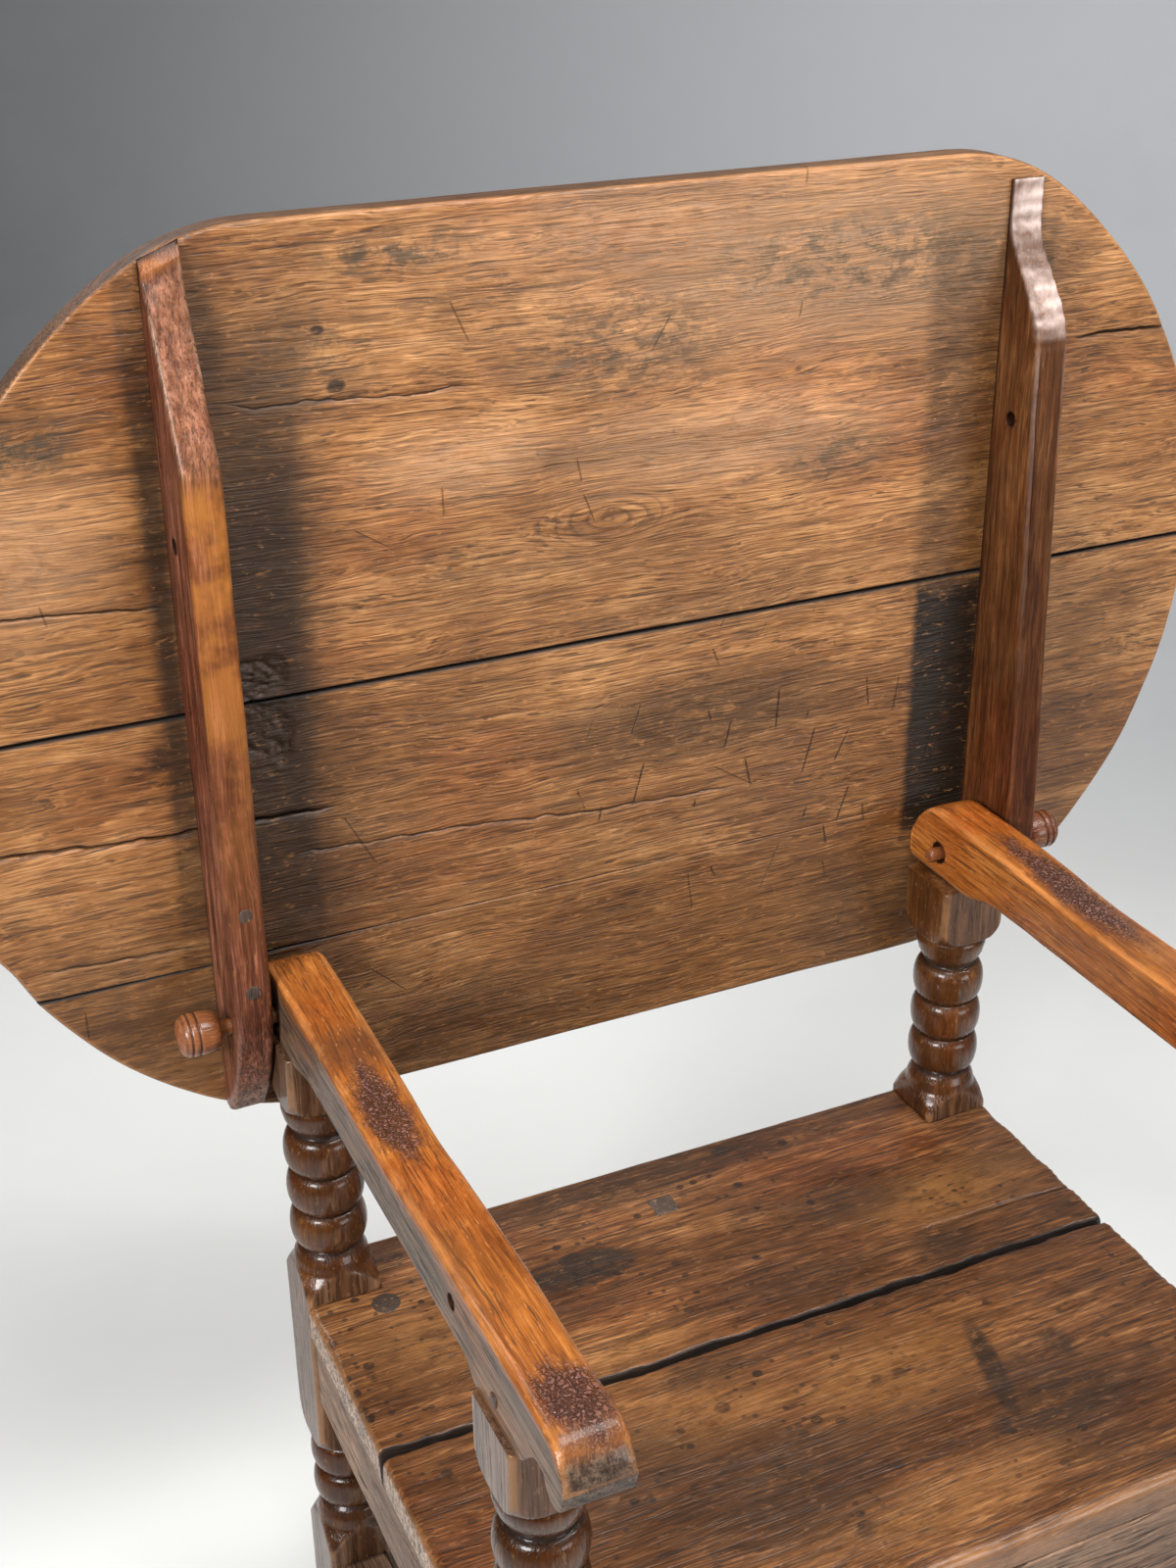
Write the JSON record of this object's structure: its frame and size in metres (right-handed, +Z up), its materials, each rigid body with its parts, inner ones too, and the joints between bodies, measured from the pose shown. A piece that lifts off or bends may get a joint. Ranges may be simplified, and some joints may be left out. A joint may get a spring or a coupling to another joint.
{
  "type": "monks bench",
  "caption": "Joined oak monks bench with turned posts, shaped arms and a board seat; its tall bowed back tilts forward on wooden pins to rest on the arms as a table.",
  "frame": {"origin": "on the floor, in the middle of the bench's width and depth with the top upright", "axes": "+Z up, +X to the right of someone looking at the front of the bench, +Y to the rear"},
  "size_m": [0.984, 0.5528, 1.1858],
  "materials": {
    "post": "dark polished turned oak",
    "rail": "dry grey-brown oak",
    "seat": "dark waxed oak with stains",
    "plug": "dark plug wood",
    "arm": "amber polished oak",
    "top": "golden brown oak, worn",
    "batten": "red-brown oak, waxed",
    "peg": "end-grain oak",
    "pin": "chestnut-brown turned wood"
  },
  "bodies": {
    "base": {"post_front_left": "post", "post_front_right": "post", "post_rear_left": "post", "post_rear_right": "post", "rail_front": "rail", "rail_rear": "rail", "rail_left": "rail", "rail_right": "rail", "stretcher_front": "rail", "stretcher_rear": "rail", "stretcher_left": "rail", "stretcher_right": "rail", "seat_board_front": "seat", "seat_board_rear": "seat", "seat_plug_round": "plug", "seat_plug_square": "plug", "arm_left": "arm", "arm_right": "arm", "arm_peg_left": "peg", "arm_peg_right": "peg"},
    "tilting_top": {"top_board_upper": "top", "top_board_middle": "top", "top_board_lower": "top", "batten_left": "batten", "batten_right": "batten", "batten_peg_left": "peg", "batten_peg_left_upper": "peg"},
    "left_pivot_pin": {"pivot_pin_left": "pin"},
    "right_pivot_pin": {"pivot_pin_right": "pin"}
  },
  "joints": [
    {"name": "top_tilt", "type": "hinge", "parent": "base", "child": "tilting_top", "pos_m": [0, 0.2147, 0.6608], "axis": [1, 0, 0], "range_deg": [0, 90]},
    {"name": "left_pin_draw", "type": "slide", "parent": "base", "child": "left_pivot_pin", "axis": [-1, 0, 0], "range_m": [0, 0.085]},
    {"name": "right_pin_draw", "type": "slide", "parent": "base", "child": "right_pivot_pin", "axis": [1, 0, 0], "range_m": [0, 0.085]}
  ]
}
